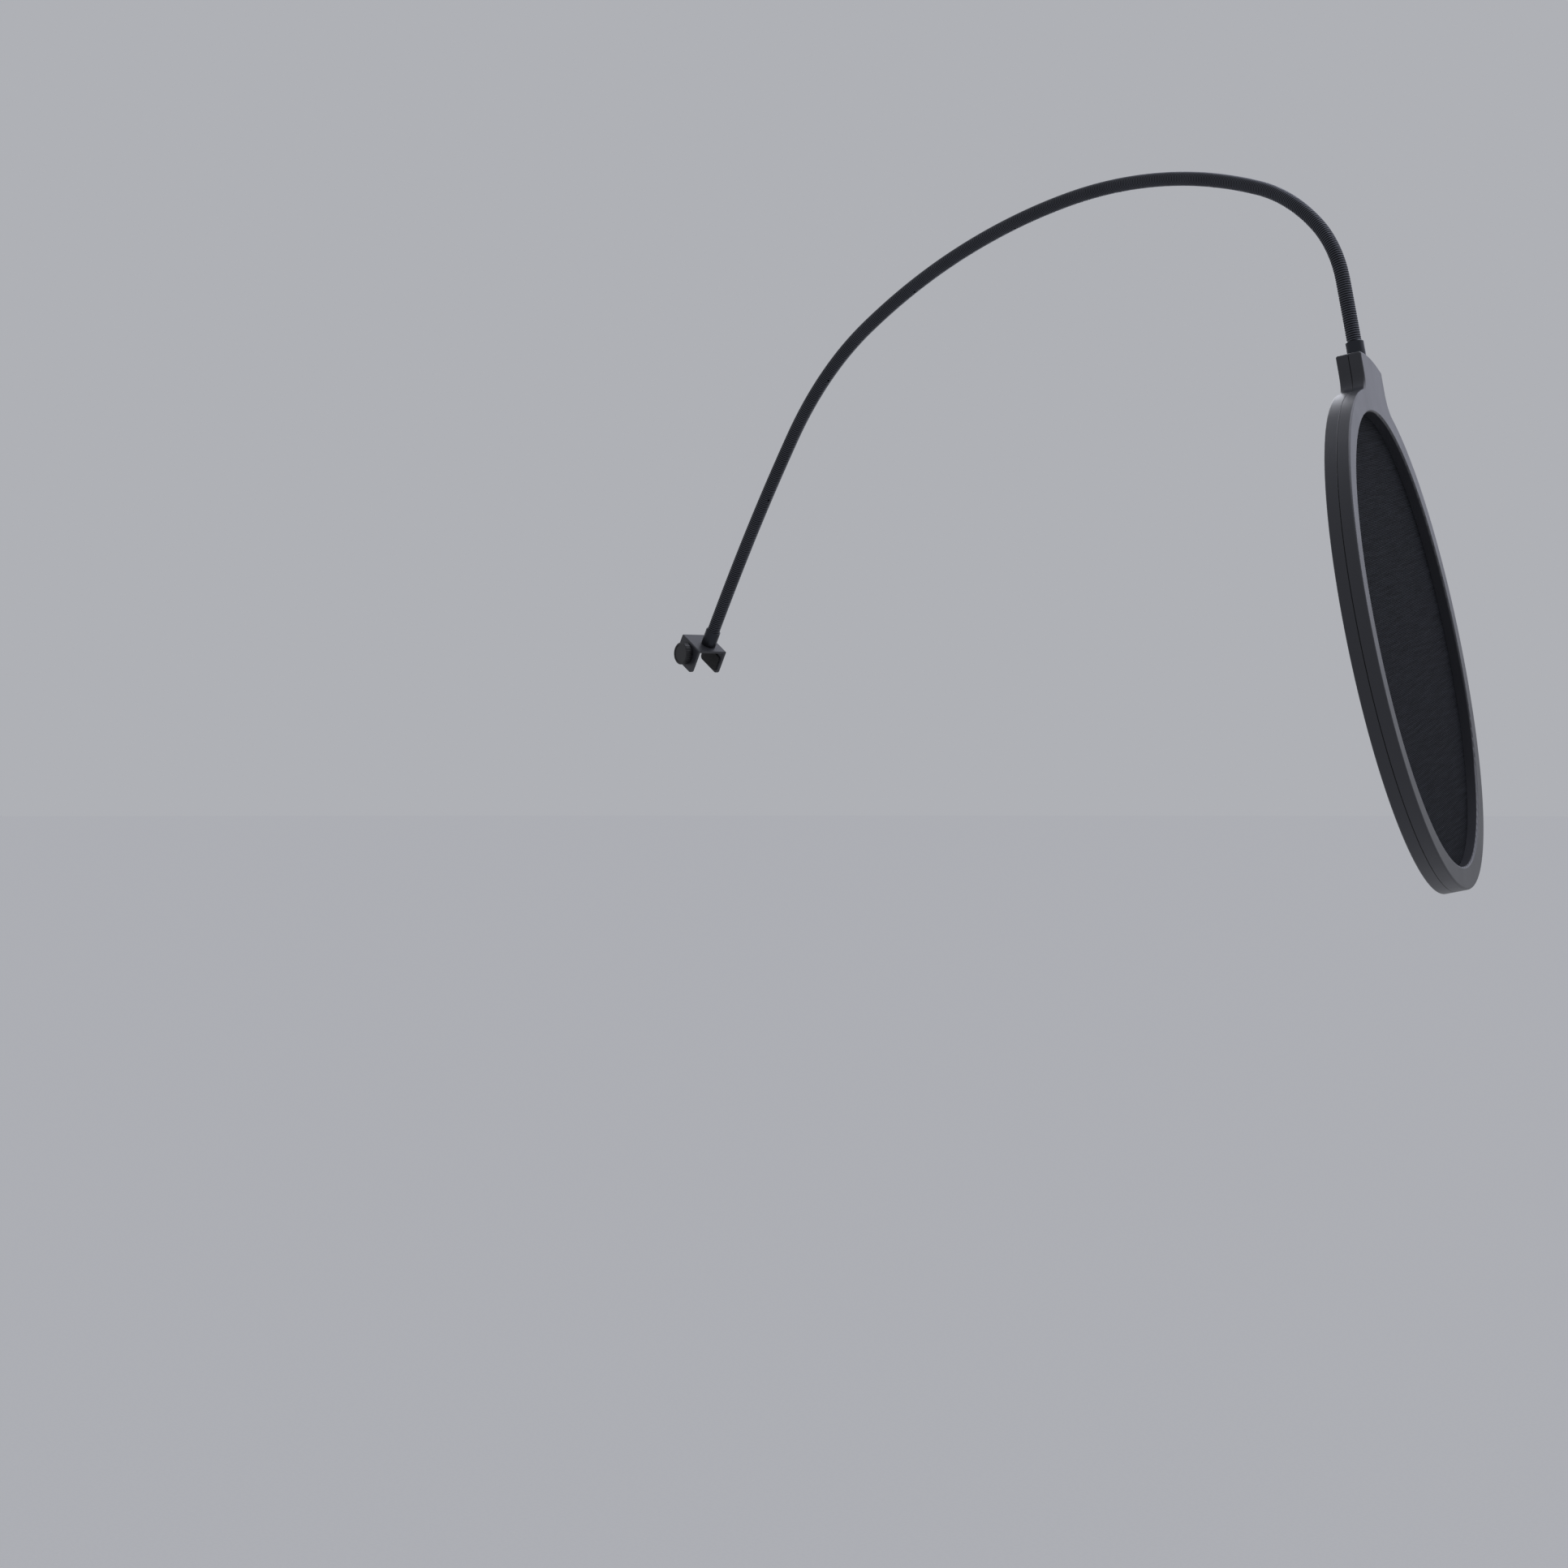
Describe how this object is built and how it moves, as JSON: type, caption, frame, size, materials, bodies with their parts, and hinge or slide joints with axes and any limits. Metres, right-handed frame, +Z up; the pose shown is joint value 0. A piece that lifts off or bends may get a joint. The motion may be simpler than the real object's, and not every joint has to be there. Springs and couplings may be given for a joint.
{
  "type": "pop filter",
  "caption": "Round mesh pop filter on a bendable gooseneck arm with a small screw clamp that grips the bar of a microphone stand.",
  "frame": {"origin": "The seat: a point on the underside of the clamp plate, between the jaws, where the gripped bar rests.", "axes": "+X is the level direction that the gooseneck reaches, +Y runs along the clamp screw from the knob towards the fixed jaw, +Z is up. The gripped bar runs 32.3 degrees below +X."},
  "size_m": [0.4184, 0.1331, 0.2324],
  "materials": {
    "clamp_steel": "satin black powder coat",
    "black_nickel": "black nickel plate",
    "arm_steel": "satin black wound steel",
    "spring_steel": "bare spring wire",
    "screw_steel": "blackened steel",
    "hoop_plastic": "fine-grained moulding",
    "knob_plastic": "ribbed moulding",
    "mesh_fabric": "fine woven nylon net",
    "grip_rubber": "matte"
  },
  "bodies": {
    "clamp": {"clamp_bracket": "clamp_steel", "base_rivet": "black_nickel", "lower_collar": "black_nickel", "screw_bush": "black_nickel", "jaw_pad": "grip_rubber", "arm_wrap_1": "arm_steel", "arm_core_1": "spring_steel"},
    "pad": {"pressure_pad": "black_nickel"},
    "screw": {"clamp_screw": "screw_steel", "thumb_knob": "knob_plastic", "knob_cap": "knob_plastic"},
    "arm_2": {"arm_wrap_2": "arm_steel", "arm_core_2": "spring_steel"},
    "arm_3": {"arm_wrap_3": "arm_steel", "arm_core_3": "spring_steel"},
    "arm_4": {"arm_wrap_4": "arm_steel", "arm_core_4": "spring_steel"},
    "arm_5": {"arm_wrap_5": "arm_steel", "arm_core_5": "spring_steel"},
    "arm_6": {"arm_wrap_6": "arm_steel", "arm_core_6": "spring_steel"},
    "arm_7": {"arm_wrap_7": "arm_steel", "arm_core_7": "spring_steel"},
    "arm_8": {"arm_wrap_8": "arm_steel", "arm_core_8": "spring_steel"},
    "arm_9": {"arm_wrap_9": "arm_steel", "arm_core_9": "spring_steel"},
    "arm_10": {"arm_wrap_10": "arm_steel", "arm_core_10": "spring_steel", "upper_collar": "black_nickel", "neck_stud": "black_nickel", "stud_clip": "spring_steel"},
    "hoop": {"front_hoop": "hoop_plastic", "rear_hoop": "hoop_plastic", "hoop_screws": "screw_steel", "spacer_ring": "hoop_plastic", "front_mesh": "mesh_fabric", "rear_mesh": "mesh_fabric"}
  },
  "joints": [
    {"name": "clamp_travel", "type": "slide", "parent": "clamp", "child": "pad", "axis": [0, 1, 0], "range_m": [-0.001, 0.0003]},
    {"name": "screw_turn", "type": "hinge", "parent": "pad", "child": "screw", "pos_m": [-0.00203, -0.0049, -0.00321], "axis": [0, 1, 0], "continuous": true},
    {"name": "arm_bend_1", "type": "hinge", "parent": "clamp", "child": "arm_2", "pos_m": [0.02168, 0, 0.03112], "axis": [0, 1, 0], "range_deg": [-15, 15]},
    {"name": "arm_bend_2_sideways", "type": "hinge", "parent": "arm_2", "child": "arm_3", "pos_m": [0.05305, 0, 0.07383], "axis": [0.7848, 0, -0.6198], "range_deg": [-20, 20]},
    {"name": "arm_bend_3", "type": "hinge", "parent": "arm_3", "child": "arm_4", "pos_m": [0.09667, 0, 0.10985], "axis": [0, 1, 0], "range_deg": [-15, 15]},
    {"name": "arm_bend_4", "type": "hinge", "parent": "arm_4", "child": "arm_5", "pos_m": [0.14941, 0, 0.13127], "axis": [0, 1, 0], "range_deg": [-15, 15]},
    {"name": "arm_bend_5_sideways", "type": "hinge", "parent": "arm_5", "child": "arm_6", "pos_m": [0.20509, 0, 0.14315], "axis": [0.1271, 0, -0.9919], "range_deg": [-20, 20]},
    {"name": "arm_bend_6", "type": "hinge", "parent": "arm_6", "child": "arm_7", "pos_m": [0.25598, 0, 0.14408], "axis": [0, 1, 0], "range_deg": [-15, 15]},
    {"name": "arm_bend_7", "type": "hinge", "parent": "arm_7", "child": "arm_8", "pos_m": [0.29642, 0, 0.13652], "axis": [0, 1, 0], "range_deg": [-15, 15]},
    {"name": "arm_bend_8_sideways", "type": "hinge", "parent": "arm_8", "child": "arm_9", "pos_m": [0.32233, 0, 0.1223], "axis": [-0.6626, 0, -0.749], "range_deg": [-20, 20]},
    {"name": "arm_bend_9", "type": "hinge", "parent": "arm_9", "child": "arm_10", "pos_m": [0.33371, 0, 0.10373], "axis": [0, 1, 0], "range_deg": [-15, 15]},
    {"name": "hoop_swivel", "type": "hinge", "parent": "arm_10", "child": "hoop", "pos_m": [0.34, 0, 0.07851], "axis": [0.2334, 0, -0.9724], "range_deg": [-90, 90]}
  ],
  "couplings": [
    {"joint": "screw_turn", "follows": "clamp_travel", "rad_per_m": 12566}
  ]
}
